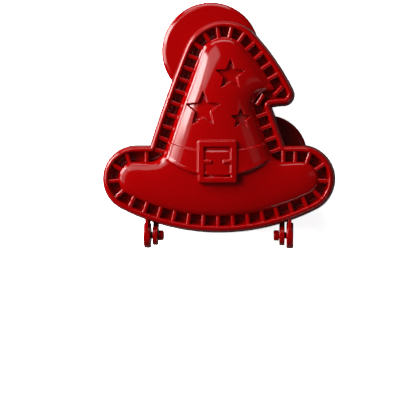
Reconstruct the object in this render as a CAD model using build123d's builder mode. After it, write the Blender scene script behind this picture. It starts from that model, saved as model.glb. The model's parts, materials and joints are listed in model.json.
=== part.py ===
from build123d import *
from math import atan2, cos, degrees, hypot, radians, sin
import os

# A hand pie mold shaped like a pointed hat, closed, lying on its two palm pads, in millimetres.
# X runs across the brim, Y from the hinge towards the crown, Z out of the hat's face.
# In the notes, u and v are X and Y counted from the hinge axis, and w is Z from the parting plane.

# Brim outline, seen from the face
brim_width = 140.0
brim_line = 34.6
brim_drop = 31.7
brim_end_radius = 19.5

# Crown outline: points that its tangent arcs run through
crown_left = -41.2
crown_right = 40.2
crown_left_lean = 72.65
crown_shoulder = (-19.65, 114.45)
crown_fold = (21.65, 122.1)
tip_outer = (44.7, 88.2)
tip_inner = (38.6, 80.4)
notch = (31.0, 79.3)

# Rim, crimp channel and walls, shared by the two halves
rim_width = 2.7
rim_bevel = 0.8
rear_lip = 1.3
channel_width = 6.5
dough_pocket = 2.5
flange_thickness = 2.0
parting_gap = 0.3
wall = 2.2

# Heights over the parting plane
front_rim_height = 9.5
front_rib_height = 8.3
brim_height = 13.0
crown_height = 15.5
rear_rim_height = 8.0
rear_height = 13.0
rib_top_gap = 0.2
crown_rounding = 5.0
face_bevels = 2
back_bevels = 1

# Crimp ribs across the front channel, and crimp teeth inside the rear half
rib_width = 2.6
rib_bite = 1.0
tooth_width = 2.2
tooth_height = 1.0
brim_pitch = 9.2
crown_pitch = 7.7
tooth_spread = 2

# Crown, belt and buckle over the brim
crown_step = 0.6
belt_rise = 0.9
belt_lip = 0.4
belt_bottom = 36.2
belt_bottom_radius = 55.0
belt_depth = 15.0
belt_top_radius = 85.0
buckle_width = 24.0
buckle_height = 25.8
buckle_middle = 44.9
buckle_bar = 4.1
buckle_rise = 1.3
buckle_rounding = 2.0
prong_length = 4.5
prong_width = 2.2

# Sunk stars: middle and point radius of each
star_depth = 1.3
star_waist = 0.45
stars = {
    "upper": (7.6, 97.5, 9.2),
    "left": (-8.9, 76.7, 10.7),
    "right": (14.0, 70.9, 6.1),
}

# Hinges
hinge_reach = 45.7
outer_ear_radius = 7.9
outer_ear_thickness = 4.2
inner_ear_radius = 6.1
inner_ear_thickness = 3.3
ear_gap = 1.1
arm_thickness = 2.0
arm_depth = 8.0
gusset_width = 1.8
gusset_drop = 6.5
gusset_depth = 5.0
pin_radius = 2.0
pin_clearance = 0.06
pin_head_radius = 3.2
pin_head_length = 3.3
pin_head_bevel = 0.5
pin_head_gap = 0.2

# Palm pads behind the rear half: middle and radius of each
pad_spots = {
    "crown": (-6.2, 114.3, 30.6),
    "brim": (28.9, 48.9, 25.5),
}
pad_thickness = 4.5
pad_bevel = 1.1
finger_gap = 10.0
stem_radius = 9.0
collar_height = 5.0
spigot_radius = 6.5
spigot_length = 4.6
spigot_end_gap = 0.2

# Places worked out from the sizes above
half_width = brim_width / 2
brim_end = half_width - brim_end_radius
brim_top = brim_line + brim_end_radius
brim_bottom = brim_line - brim_drop
bottom_radius = (brim_end**2 + brim_drop**2 - brim_end_radius**2) / (2 * (brim_drop - brim_end_radius))
body_inset = rim_width + channel_width
channel_middle = rim_width + channel_width / 2
half_gap = parting_gap / 2
front_floor = half_gap + flange_thickness
front_root = front_floor - rib_bite
rear_floor = dough_pocket + flange_thickness
dome_rounding = brim_height - front_rib_height - rib_top_gap
belt_height = crown_height + belt_rise
buckle_top = belt_height + buckle_rise
pad_front = rear_height + finger_gap
pad_back = pad_front + pad_thickness
collar_end = rear_height + collar_height
inner_ear_end = hinge_reach - outer_ear_thickness - ear_gap
pin_head_end = inner_ear_end - inner_ear_thickness - pin_head_gap
hinge_y = -(pad_spots["crown"][1] + pad_spots["crown"][2] - outer_ear_radius) / 2
mold = Plane((0, hinge_y, pad_back))


def hat(inset):
    """The hat's outline, drawn inwards by inset, flat on its own plane."""
    rise = bottom_radius + brim_bottom - brim_line
    reach = hypot(brim_end, rise)
    meet_u = brim_end + brim_end_radius * brim_end / reach
    meet_v = brim_line - brim_end_radius * rise / reach
    with BuildSketch() as face:
        with BuildLine():
            ThreePointArc((-meet_u, meet_v), (0, brim_bottom), (meet_u, meet_v))
            ThreePointArc((meet_u, meet_v), (half_width, brim_line), (brim_end, brim_top))
            Polyline((brim_end, brim_top), (crown_right, brim_top), notch, tip_inner)
            ThreePointArc((-meet_u, meet_v), (-half_width, brim_line), (-brim_end, brim_top))
            Line((-brim_end, brim_top), (crown_left, brim_top))
            lean = Vector(1, 0).rotate(Axis.Z, crown_left_lean)
            side = TangentArc((crown_left, brim_top), crown_shoulder, tangent=lean)
            top = TangentArc(crown_shoulder, crown_fold, tangent=side % 1)
            fold = TangentArc(crown_fold, tip_outer, tangent=top % 1)
            TangentArc(tip_outer, tip_inner, tangent=fold % 1)
        make_face()
        if inset != 0:
            offset(amount=-inset, kind=Kind.INTERSECTION)
    return face.sketch


def above_belt_bottom(clearance):
    """Everything above the belt's sagging lower edge, less a clearance."""
    with BuildSketch() as face:
        with Locations((0, belt_bottom + belt_bottom_radius)):
            Circle(belt_bottom_radius - clearance)
    return face.sketch


def belt_band(clearance):
    """The band between the belt's two sagging edges, its lower one drawn in by a clearance."""
    with BuildSketch() as face:
        add(above_belt_bottom(clearance))
        with Locations((0, belt_bottom + belt_depth + belt_top_radius)):
            Circle(belt_top_radius, mode=Mode.SUBTRACT)
    return face.sketch


def buckle_face():
    """The buckle's frame with its two prong stubs."""
    opening_width = buckle_width - 2 * buckle_bar
    opening_height = buckle_height - 2 * buckle_bar
    with BuildSketch() as face:
        with Locations((0, buckle_middle)):
            RectangleRounded(buckle_width, buckle_height, buckle_rounding)
            Rectangle(opening_width, opening_height, mode=Mode.SUBTRACT)
            for side in (-1, 1):
                with Locations((side * (opening_width - prong_length) / 2, 0)):
                    Rectangle(prong_length, prong_width)
    return face.sketch


def star_face(middle_u, middle_v, radius, grow):
    """A five-pointed star, drawn outwards by grow."""
    reaches = [radius, radius * star_waist] * 5
    with BuildSketch() as face:
        with BuildLine():
            corners = [Vector(0, reach).rotate(Axis.Z, 36 * i) for i, reach in enumerate(reaches)]
            Polyline(*[corner + Vector(middle_u, middle_v) for corner in corners], close=True)
        make_face()
        if grow != 0:
            offset(amount=grow, kind=Kind.INTERSECTION)
    return face.sketch


def channel_bars(width, length, spread):
    """Bars square across the crimp channel, evenly spread along each stretch of it, spread pitches apart."""
    spots = []
    for stretch in hat(channel_middle).edges():
        pitch = crown_pitch if (stretch @ 0.5).Y > brim_top else brim_pitch
        count = max(1, round(stretch.length / pitch / spread))
        for i in range(count):
            place = (i + 0.5) / count
            along = stretch % place
            spots.append(Location(stretch @ place, (0, 0, degrees(atan2(along.Y, along.X)))))
    with BuildSketch() as bars:
        with Locations(*spots):
            Rectangle(width, length)
    return bars.sketch


def block(face, low, high):
    """A face carried from one height over the parting plane to another."""
    with BuildPart() as made:
        with BuildSketch(mold.offset(low)):
            add(face)
        extrude(amount=high - low)
    return made.part


def dome(inset, low, high, rounding, bevels, within=None):
    """The hat raised between two heights, its far edge rounded by bevels, within a face if given."""
    bevelled = 0
    with BuildPart() as made:
        with BuildSketch(mold.offset(low)):
            add(hat(inset))
        extrude(amount=high - low)
        for step in range(bevels):
            # Each bevel carries on, up to the top, the line between two points of a quarter round
            start = radians(90 * step / bevels)
            end = radians(90 * (step + 1) / bevels)
            across = rounding * (1 - cos(start))
            below = rounding * (1 - sin(start))
            reach = across + below * (cos(start) - cos(end)) / (sin(end) - sin(start))
            far_side = made.faces().sort_by(Axis.Z)[-1 if high > low else 0]
            chamfer(
                far_side.edges(),
                length=reach - bevelled,
                length2=hypot(bevelled - across, below),
                reference=far_side,
            )
            bevelled = reach
        if within is not None:
            add(block(within, low, high), mode=Mode.INTERSECT)
    return made.part


def tray(side, outset, rim_height, floor):
    """One half's rim wall, drawn outwards by outset, round its flange; side is 1 for the front, -1 for the rear."""
    with BuildPart() as made:
        add(block(hat(-outset), side * half_gap, side * rim_height))
        add(block(hat(rim_width), side * floor, side * 2 * rim_height), mode=Mode.SUBTRACT)
    return made.part


def cross_plane(place):
    """The plane square to the hinge axis at a place along it: its x is v and its y is w."""
    return Plane((place, hinge_y, pad_back), x_dir=(0, 1, 0), z_dir=(1, 0, 0))


def upright_plane(middle_u, middle_v):
    """The upright plane across the mold through a point of the parting plane: its y is w."""
    return Plane((middle_u, hinge_y + middle_v, pad_back), x_dir=(1, 0, 0), z_dir=(0, -1, 0))


def rim_above(across):
    """How far the outline's bottom arc lies above the hinge axis, at a place across the brim."""
    return brim_bottom + bottom_radius - (bottom_radius**2 - across**2) ** 0.5


def ear(outer_end, thickness, radius, bore, carrier, side):
    """A bored hinge ear on the right, and the arm that a half's rim wall carries it on."""
    start = outer_end - thickness
    arm_start = start + (thickness - carrier) / 2
    root = rim_above(arm_start) + rim_width / 2
    with BuildPart() as made:
        with BuildSketch(cross_plane(arm_start)):
            with BuildLine():
                Polyline(
                    (0, side * half_gap),
                    (root, side * half_gap),
                    (root, side * arm_depth),
                    (radius, side * arm_depth),
                    (0, side * radius),
                    close=True,
                )
            make_face()
        extrude(amount=carrier)
        with BuildSketch(cross_plane(start)):
            Circle(radius)
        extrude(amount=thickness)
        with BuildSketch(cross_plane(start)):
            Circle(bore)
        extrude(amount=thickness, mode=Mode.SUBTRACT)
    return made.part


def gusset(arm_start):
    """The small web in the corner between the right outer ear's arm and the rim wall."""
    root = rim_above(arm_start) + rim_width / 2
    with BuildPart() as made:
        with BuildSketch(mold.offset(half_gap)):
            with BuildLine():
                Polyline(
                    (arm_start, root),
                    (arm_start - gusset_width, root),
                    (arm_start, root - gusset_drop),
                    close=True,
                )
            make_face()
        extrude(amount=gusset_depth)
    return made.part


def hinge_pin(side):
    """A pin whose bevelled head lies inside the inner ear; side is 1 on the right, -1 on the left."""
    head_start = side * (pin_head_end - pin_head_length)
    with BuildPart() as made:
        with BuildSketch(upright_plane(0, 0)) as profile:
            with BuildLine():
                Polyline(
                    (head_start, 0),
                    (side * hinge_reach, 0),
                    (side * hinge_reach, pin_radius),
                    (side * pin_head_end, pin_radius),
                    (side * pin_head_end, pin_head_radius),
                    (head_start, pin_head_radius),
                    close=True,
                )
            make_face()
            head_rim = profile.vertices().sort_by_distance((head_start, pin_head_radius))[0]
            chamfer(head_rim, length=pin_head_bevel)
        revolve(axis=Axis((0, hinge_y, pad_back), (1, 0, 0)))
    return made.part


def palm_pad(middle_u, middle_v, radius):
    """A round pad on a stem, whose spigot plugs into the rear half's collar."""
    spigot_top = spigot_length - collar_end
    with BuildPart() as made:
        with BuildSketch(upright_plane(middle_u, middle_v)) as profile:
            with BuildLine():
                Polyline(
                    (0, -pad_back),
                    (radius, -pad_back),
                    (radius, -pad_front),
                    (stem_radius, -pad_front),
                    (stem_radius, -collar_end),
                    (spigot_radius, -collar_end),
                    (spigot_radius, spigot_top),
                    (0, spigot_top),
                    close=True,
                )
            make_face()
            front_rim = profile.vertices().sort_by_distance((radius, -pad_front))[0]
            chamfer(front_rim, length=pad_bevel)
        revolve(axis=Axis((middle_u, hinge_y + middle_v, 0), (0, 0, 1)))
    return made.part


with BuildPart() as front_shell:
    add(tray(1, 0, front_rim_height, front_floor))
    chamfer(front_shell.faces().sort_by(Axis.Z)[-1].edges(), length=rim_bevel)
    ribs = channel_bars(rib_width, channel_width + 2 * rib_bite, 1)
    add(block(ribs, front_root, front_rib_height))
    # The hat's face: brim, crown, belt and buckle, each over the one before
    add(dome(body_inset, front_root, brim_height, dome_rounding, face_bevels))
    crown_inset = body_inset + crown_step
    add(dome(crown_inset, front_root, crown_height, crown_rounding, face_bevels, above_belt_bottom(0)))
    belt_rounding = crown_rounding + belt_rise
    belt_edge = body_inset - belt_rise
    add(dome(belt_edge, front_root, belt_height, belt_rounding, face_bevels, belt_band(-belt_lip)))
    add(block(buckle_face(), front_floor, buckle_top))
    # The cavity follows the brim and the crown from inside, a wall's thickness away
    brim_cavity = dome(body_inset + wall, 0, brim_height - wall, dome_rounding - wall, back_bevels)
    crown_cavity = dome(
        crown_inset + wall,
        0,
        crown_height - wall,
        crown_rounding - wall,
        back_bevels,
        above_belt_bottom(wall),
    )
    add(brim_cavity, mode=Mode.SUBTRACT)
    add(crown_cavity, mode=Mode.SUBTRACT)
    for spot in stars.values():
        add(block(star_face(*spot, wall / 2), crown_height - wall - star_depth, crown_height - wall / 2))
        add(block(star_face(*spot, 0), crown_height - star_depth, 2 * crown_height), mode=Mode.SUBTRACT)
    outer_ear = ear(hinge_reach, outer_ear_thickness, outer_ear_radius, pin_radius, arm_thickness, 1)
    web = gusset(hinge_reach - (outer_ear_thickness + arm_thickness) / 2)
    for hinge_piece in (outer_ear, web):
        add(hinge_piece)
        mirror(hinge_piece, about=Plane.YZ)

with BuildPart() as rear_shell:
    add(tray(-1, rear_lip, rear_rim_height, rear_floor))
    add(block(hat(rim_width), 0, -dough_pocket), mode=Mode.SUBTRACT)
    teeth = channel_bars(tooth_width, channel_width, tooth_spread)
    add(block(teeth, tooth_height - dough_pocket, -rear_floor))
    add(dome(body_inset, -dough_pocket, -rear_height, dome_rounding, back_bevels))
    for middle_u, middle_v, _ in pad_spots.values():
        with BuildSketch(mold.offset(-collar_end)):
            with Locations((middle_u, middle_v)):
                Circle(stem_radius)
        extrude(amount=collar_end - dough_pocket)
    rear_cavity = dome(body_inset + wall, 0, wall - rear_height, dome_rounding - wall, back_bevels)
    add(rear_cavity, mode=Mode.SUBTRACT)
    for middle_u, middle_v, _ in pad_spots.values():
        with BuildSketch(mold.offset(-collar_end)):
            with Locations((middle_u, middle_v)):
                Circle(spigot_radius)
        extrude(amount=spigot_length + spigot_end_gap, mode=Mode.SUBTRACT)
    inner_ear = ear(
        inner_ear_end,
        inner_ear_thickness,
        inner_ear_radius,
        pin_radius + pin_clearance,
        inner_ear_thickness,
        -1,
    )
    add(inner_ear)
    mirror(inner_ear, about=Plane.YZ)

os.makedirs("parts", exist_ok=True)
pieces = {
    "front_shell": front_shell.part,
    "rear_shell": rear_shell.part,
    "crown_pad": palm_pad(*pad_spots["crown"]),
    "brim_pad": palm_pad(*pad_spots["brim"]),
    "hinge_pin_left": hinge_pin(-1),
    "hinge_pin_right": hinge_pin(1),
}
for name, piece in pieces.items():
    piece.label = name
    export_step(piece, f"parts/{name}.step")
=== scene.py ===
import json
import logging
import math
from collections.abc import Callable, Iterable, Sequence
from dataclasses import dataclass
from enum import Enum

import bmesh
import bpy
import numpy as np
from bpy.types import Material, Mesh, Node, NodeTree, Object
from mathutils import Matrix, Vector
from mathutils.geometry import delaunay_2d_cdt


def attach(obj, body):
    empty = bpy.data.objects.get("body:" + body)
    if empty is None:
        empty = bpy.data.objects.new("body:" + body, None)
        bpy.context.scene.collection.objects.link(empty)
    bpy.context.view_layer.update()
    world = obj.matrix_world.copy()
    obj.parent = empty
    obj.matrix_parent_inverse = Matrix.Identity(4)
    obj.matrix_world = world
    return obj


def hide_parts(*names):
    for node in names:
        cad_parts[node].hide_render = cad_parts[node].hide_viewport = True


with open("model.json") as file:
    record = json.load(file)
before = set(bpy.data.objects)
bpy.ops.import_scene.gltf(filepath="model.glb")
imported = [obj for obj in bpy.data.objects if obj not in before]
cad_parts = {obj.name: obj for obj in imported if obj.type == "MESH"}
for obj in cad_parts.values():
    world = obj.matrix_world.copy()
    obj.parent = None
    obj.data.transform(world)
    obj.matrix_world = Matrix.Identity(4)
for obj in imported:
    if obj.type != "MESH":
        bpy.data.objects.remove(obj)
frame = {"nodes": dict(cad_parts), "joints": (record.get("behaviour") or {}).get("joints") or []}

# Looks of a hat-shaped hand pie mold. Sizes are in millimetres in the mold's own coordinates: u runs
# across the brim and v from the hinge axis to the crown, and w is the height over the parting plane.
LOG = logging.getLogger("scene")
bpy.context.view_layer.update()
MM = 0.001
HINGE = np.array(frame["joints"][0]["pos_m"]) / MM

Point = tuple[float, float]
Array = np.ndarray

# Sizes that several pieces share: the rim, the domed body's inset from the outline and the walls
LIP = 1.3
RIM_WIDTH = 2.7
BODY_INSET = 9.2
WALL = 2.2
WALL_TOP = 7.6
HALF_GAP = 0.15

# Spacing of the points that the shells' meshes are made of
SPACING = 0.6
FINE_SPACING = 0.35
GRID = 0.8
CLEARANCE = 0.45
SEGMENTS = 96
AXIS_RADIUS = 0.001


class Half(Enum):
    """The mold's two halves: the side of the parting plane that each lies on."""

    FRONT = 1
    REAR = -1


# Plane curves


def tangent_arc(start: Point, end: Point, direction: Array, step: float = 0.3) -> tuple:
    """Draws the circular arc that leaves one point in a given direction and ends at another.

    The radius is the chord squared over twice the chord's part across the direction.

    Args:
        start: First point.
        end: Last point.
        direction: Unit vector of the arc's direction at its start.
        step: Distance between the points drawn.

    Returns:
        The arc's points and its direction at the end.
    """
    chord = np.subtract(end, start)
    left = np.array((-direction[1], direction[0]))
    radius = chord @ chord / (2 * (left @ chord))
    turn = 2 * math.atan2(left @ chord, direction @ chord)
    angles = np.linspace(0, turn, max(3, int(abs(radius * turn) / step)))
    centre = np.asarray(start) + radius * left
    points = centre - radius * (np.cos(angles)[:, None] * left - np.sin(angles)[:, None] * direction)
    last = math.cos(turn) * direction + math.sin(turn) * left
    return points, last


def line(start: Point, end: Point, step: float = 0.3) -> Array:
    """Points evenly along a straight line."""
    count = max(2, int(math.dist(start, end) / step))
    return np.linspace(start, end, count)


def polygon(corners: Sequence[Point]) -> Array:
    """A closed polygon's sides as points."""
    ring = [*corners, corners[0]]
    return np.vstack([line(a, b)[:-1] for a, b in zip(ring, ring[1:])])


def smoothstep(low: float, high: float, value: Array) -> Array:
    """Rises smoothly from 0 at low to 1 at high."""
    share = np.clip((value - low) / (high - low), 0, 1)
    return share * share * (3 - 2 * share)


def rounded_step(value: Array, start: float, reach: float) -> Array:
    """Rises from 0 at a start to 1 past a reach like the quarter of a circle: steep first, then flat."""
    share = np.clip((value - start) / reach, 0, 1)
    return np.sqrt(1 - (1 - share) ** 2)


def cubic_weights(share: Array) -> tuple:
    """Weights of four neighbours in a smooth cubic curve through them."""
    return (
        ((2 - share) * share - 1) * share / 2,
        ((3 * share - 5) * share * share + 2) / 2,
        ((4 - 3 * share) * share + 1) * share / 2,
        (share - 1) * share * share / 2,
    )


def softened(loop: Array, radius: float, step: float) -> Array:
    """Resamples a closed loop evenly and rounds its corners with a Gaussian.

    Args:
        loop: Points of the loop.
        radius: The Gaussian's radius.
        step: Distance between the new points.

    Returns:
        The new points.
    """
    closed = np.vstack((loop, loop[:1]))
    along = np.concatenate(([0], np.cumsum(np.hypot(*np.diff(closed, axis=0).T))))
    count = int(along[-1] / step)
    places = np.linspace(0, along[-1], count, endpoint=False)
    even = np.interp(places, along, closed[:, 0]) + 1j * np.interp(places, along, closed[:, 1])
    waves = 2 * math.pi * np.fft.fftfreq(count, along[-1] / count)
    smooth = np.fft.ifft(np.fft.fft(even) * np.exp(-((waves * radius) ** 2) / 2))
    return np.column_stack((smooth.real, smooth.imag))


@dataclass(frozen=True)
class Hat:
    """The hat's outline, with the places that its tangent arcs run through."""

    half_width: float = 70.0
    brim_line: float = 34.6
    brim_bottom: float = 2.9
    end_radius: float = 19.5
    crown_left: float = -41.2
    crown_right: float = 40.2
    lean: float = math.radians(72.65)
    shoulder: Point = (-19.65, 114.45)
    fold: Point = (21.65, 122.1)
    tip_outer: Point = (44.7, 88.2)
    tip_inner: Point = (38.6, 80.4)
    notch: Point = (31.0, 79.3)
    foot_drop: float = 10.0

    @property
    def brim_end(self) -> float:
        """Half the distance between the middles of the brim's round ends."""
        return self.half_width - self.end_radius

    @property
    def brim_top(self) -> float:
        """The brim's upper line."""
        return self.brim_line + self.end_radius

    @property
    def bottom_radius(self) -> float:
        """Radius of the brim's long lower arc, which touches both round ends."""
        drop = self.brim_line - self.brim_bottom
        return (self.brim_end**2 + drop**2 - self.end_radius**2) / (2 * (drop - self.end_radius))

    def rim_above(self, across: float) -> float:
        """Height of the brim's lower arc over the hinge axis at a place across it."""
        return self.brim_bottom + self.bottom_radius - math.sqrt(self.bottom_radius**2 - across**2)

    def crown_side(self) -> Array:
        """The crown's outline from its left foot over the top to the tip's inner corner."""
        direction = np.array((math.cos(self.lean), math.sin(self.lean)))
        foot = (self.crown_left, self.brim_top)
        places = (foot, self.shoulder, self.fold, self.tip_outer, self.tip_inner)
        arcs = []
        for start, end in zip(places, places[1:]):
            points, direction = tangent_arc(start, end, direction)
            arcs.append(points[:-1])
        return np.vstack(arcs)

    def loop(self, spacing: float = 0.5, end_points: int = 150) -> Array:
        """The whole outline, drawn anticlockwise from the brim's lowest point.

        Args:
            spacing: Distance between the points of the long lower arc.
            end_points: How many points each round end has.

        Returns:
            The outline's points.
        """
        centre_v = self.brim_bottom + self.bottom_radius
        reach = math.hypot(self.brim_end, centre_v - self.brim_line)
        meet_angle = math.atan2(self.brim_end, centre_v - self.brim_line)
        below = np.linspace(0, meet_angle, int(self.bottom_radius * meet_angle / spacing))
        bottom = np.column_stack((np.sin(below), -np.cos(below))) * (reach + self.end_radius) + (0, centre_v)
        around = np.linspace(meet_angle - math.pi / 2, math.pi / 2, end_points)
        end = np.column_stack((np.cos(around), np.sin(around))) * self.end_radius
        end = end + (self.brim_end, self.brim_line)
        mirror = np.array((-1, 1))
        parts = (
            bottom,
            end,
            line((self.brim_end, self.brim_top), (self.crown_right, self.brim_top)),
            line((self.crown_right, self.brim_top), self.notch),
            line(self.notch, self.tip_inner),
            self.crown_side()[::-1],
            line((self.crown_left, self.brim_top), (-self.brim_end, self.brim_top)),
            end[::-1] * mirror,
            bottom[::-1] * mirror,
        )
        return np.vstack([part[:-1] for part in parts])

    def crown_loop(self) -> Array:
        """The crown alone, its flanks carried on straight down past the brim."""
        drop = self.brim_top + self.foot_drop
        slope_right = (self.crown_right - self.notch[0]) / (self.notch[1] - self.brim_top)
        right_foot = (self.crown_right + drop * slope_right, self.brim_top - drop)
        left_foot = (self.crown_left - drop / math.tan(self.lean), self.brim_top - drop)
        crown = self.crown_side()[::-1]
        sides = (
            line(left_foot, right_foot),
            line(right_foot, self.notch),
            line(self.notch, self.tip_inner),
            crown,
            line(tuple(crown[-1]), left_foot),
        )
        return np.vstack([side[:-1] for side in sides])


@dataclass
class Outline:
    """A closed curve drawn anticlockwise, with distances to it and rows of points beside it."""

    points: Array
    inward: Array

    @classmethod
    def from_loop(cls, loop: Array, spacing: float, fan: float = 6.0, radius: float = 0.35) -> "Outline":
        """Samples a loop, more closely where it turns, so that rows beside it stay even.

        Args:
            loop: Points of the loop.
            spacing: Distance between the samples on straight stretches.
            fan: Length that a turn of one radian counts for.
            radius: Radius that the corners are rounded by.

        Returns:
            The outline.
        """
        step = 0.1
        smooth = softened(loop, radius, step)
        ahead = np.roll(smooth, -1, axis=0) - np.roll(smooth, 1, axis=0)
        ahead /= np.hypot(*ahead.T)[:, None]
        angle = np.unwrap(np.arctan2(ahead[:, 1], ahead[:, 0]))
        turning = np.abs(np.diff(angle, append=angle[:1] + 2 * math.pi))
        effort = np.concatenate(([0], np.cumsum(step + fan * turning)))
        count = int(effort[-1] / spacing)
        picks = np.searchsorted(effort, np.linspace(0, effort[-1], count, endpoint=False))
        picks = np.unique(np.clip(picks, 0, len(smooth) - 1))
        inward = np.column_stack((-ahead[:, 1], ahead[:, 0]))
        return cls(smooth[picks], inward[picks])

    def distance(self, places: Array, chunk_size: int = 4000) -> Array:
        """Distance of each place to the curve, positive inside.

        It is the least distance to the curve's straight pieces, and a place is inside when a line
        from it to the right crosses the curve an odd number of times.

        Args:
            places: Points (u, v).
            chunk_size: How many places are measured at once.

        Returns:
            The distances.
        """
        start = self.points
        step = np.roll(start, -1, axis=0) - start
        length = np.einsum("ij,ij->i", step, step)
        result = np.empty(len(places))
        for first in range(0, len(places), chunk_size):
            chunk = places[first : first + chunk_size]
            offset = chunk[:, None, :] - start[None]
            share = np.clip((offset[..., 0] * step[:, 0] + offset[..., 1] * step[:, 1]) / length, 0, 1)
            gap_u = offset[..., 0] - share * step[:, 0]
            gap_v = offset[..., 1] - share * step[:, 1]
            nearest = np.sqrt((gap_u**2 + gap_v**2).min(axis=1))
            next_v = start[:, 1] + step[:, 1]
            crosses = (start[:, 1] > chunk[:, 1:]) != (next_v > chunk[:, 1:])
            with np.errstate(divide="ignore", invalid="ignore"):
                hit = start[:, 0] + (chunk[:, 1:] - start[:, 1]) / step[:, 1] * step[:, 0]
            inside = ((hit > chunk[:, :1]) & crosses).sum(axis=1) % 2 == 1
            result[first : first + chunk_size] = np.where(inside, nearest, -nearest)
        return result

    def rows(self, offsets: Iterable[float], keep: Callable | None = None) -> tuple:
        """Rows of points at given distances inside the curve, without those that another side is nearer to.

        Args:
            offsets: Distances inside the curve, negative outside.
            keep: Tells which of the places given to it are wanted.

        Returns:
            The points, and pairs of neighbours along each row.
        """
        found = []
        pairs = []
        total = 0
        for offset in offsets:
            places = self.points + offset * self.inward
            good = np.abs(self.distance(places) - offset) < 0.02 + 0.004 * abs(offset)
            if keep is not None:
                good &= keep(places)
            numbers = np.cumsum(good) - 1 + total
            linked = good & np.roll(good, -1)
            pairs.append(np.column_stack((numbers, np.roll(numbers, -1)))[linked])
            found.append(places[good])
            total += int(good.sum())
        return np.vstack(found), np.vstack(pairs)


# The hat's relief


@dataclass(frozen=True)
class Dome:
    """A domed body: its inset from the outline, and how it rises from its wall to its full height."""

    inset: float
    wall_top: float
    height: float
    softness: float
    fullness: float

    def rise(self, lift: Array) -> Array:
        """Height over the parting plane where the dome has a share of its full lift."""
        return self.wall_top + (self.height - self.wall_top) * lift


@dataclass(frozen=True)
class Belt:
    """The band round the crown between two circles, given by their middle's v and their radius."""

    bottom: Point = (91.2, 55.0)
    top: Point = (136.2, 85.0)
    rise: float = 0.9
    step: float = 0.3
    bead: float = 0.35
    bead_at: float = 1.3
    bead_reach: float = 0.5

    def over_bottom(self, places: Array) -> Array:
        """How far places lie above the belt's lower edge."""
        return self.bottom[1] - np.hypot(places[:, 0], places[:, 1] - self.bottom[0])

    def under_top(self, places: Array) -> Array:
        """How far places lie below the belt's upper edge."""
        return np.hypot(places[:, 0], places[:, 1] - self.top[0]) - self.top[1]

    def raised(self, places: Array) -> Array:
        """Height that the belt and the bead along its lower edge add to the crown."""
        band = self.rise * smoothstep(-self.step, self.step, self.under_top(places))
        across = (self.over_bottom(places) - self.bead_at) / self.bead_reach
        return band + self.bead * np.exp(-(across**2))


@dataclass(frozen=True)
class Buckle:
    """The square buckle: a frame of rounded bars round a panel, with two prong stubs."""

    size: Point = (24.0, 25.8)
    middle: float = 44.9
    bar: float = 4.1
    top: float = 17.6
    bow: float = 0.004
    corner: float = 2.2
    rounding: float = 1.1
    edge: float = 0.2
    panel_rise: float = 0.12
    prong: Point = (4.5, 2.2)
    reach: float = 22.0

    def outer_loop(self) -> Array:
        """The buckle's outer edge."""
        half_u, half_v = (size / 2 for size in self.size)
        corners = ((-half_u, -half_v), (half_u, -half_v), (half_u, half_v), (-half_u, half_v))
        return polygon([(u, v + self.middle) for u, v in corners])

    def opening_loop(self) -> Array:
        """The buckle's opening, which the two prong stubs reach into."""
        open_u, open_v = (size / 2 - self.bar for size in self.size)
        stub_u, stub_v = open_u - self.prong[0], self.prong[1] / 2
        right = [
            (open_u, -open_v),
            (open_u, -stub_v),
            (stub_u, -stub_v),
            (stub_u, stub_v),
            (open_u, stub_v),
            (open_u, open_v),
        ]
        left = [(-u, v) for u, v in right[::-1]]
        return polygon([(u, v + self.middle) for u, v in right + left])


@dataclass(frozen=True)
class Star:
    """A sunk five-pointed star: its middle and the reach of its points."""

    middle: Point
    radius: float
    waist: float = 0.45

    def loop(self) -> Array:
        """The star's sides as points, anticlockwise."""
        angles = math.pi / 2 + np.arange(11) * math.pi / 5
        reaches = self.radius * np.where(np.arange(11) % 2, self.waist, 1.0)
        corners = np.column_stack((np.cos(angles) * reaches, np.sin(angles) * reaches)) + self.middle
        return np.vstack([line(tuple(a), tuple(b))[:-1] for a, b in zip(corners, corners[1:])])


@dataclass(frozen=True)
class Crease:
    """The shallow fold of the crown towards the hat's tip."""

    start: Point = (17.5, 107.5)
    end: Point = (32.5, 89.5)
    depth: float = 0.35
    width: float = 1.1
    fade_in: Point = (0.0, 0.35)
    fade_out: Point = (0.9, 1.15)

    def sunk(self, places: Array) -> Array:
        """Its depth: full along its line, falling off beside it like a Gaussian, and smoothly at its ends."""
        start, end = np.array(self.start), np.array(self.end)
        reach = np.linalg.norm(end - start)
        along = (end - start) / reach
        offset = places - start
        share = offset @ along / reach
        beside = offset @ np.array((-along[1], along[0]))
        ends = smoothstep(*self.fade_in, share) * (1 - smoothstep(*self.fade_out, share))
        return self.depth * np.exp(-((beside / self.width) ** 2)) * ends


HAT = Hat()
BRIM = Dome(inset=BODY_INSET, wall_top=WALL_TOP, height=13.2, softness=13.0, fullness=0.5)
CROWN = Dome(inset=9.7, wall_top=WALL_TOP, height=15.6, softness=15.0, fullness=0.62)
BELT = Belt()
BUCKLE = Buckle()
STARS = (Star((7.6, 97.5), 9.2), Star((-8.9, 76.7), 10.7), Star((14.0, 70.9), 6.1))
STAR_DEPTH = 2.5
STAR_EDGE = 0.3
CREASE = Crease()

# Where both pillows have their full height, and where the brim's pillow and the crown's dome fall off
FULL_HEIGHT_AT = (0.0, 52.0)
BRIM_FADE = 0.5
BRIM_FADES_OVER = (50, 64)
CROWN_FALL = 0.2
CROWN_FALLS_OVER = (85.0, 128.0)


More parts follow.
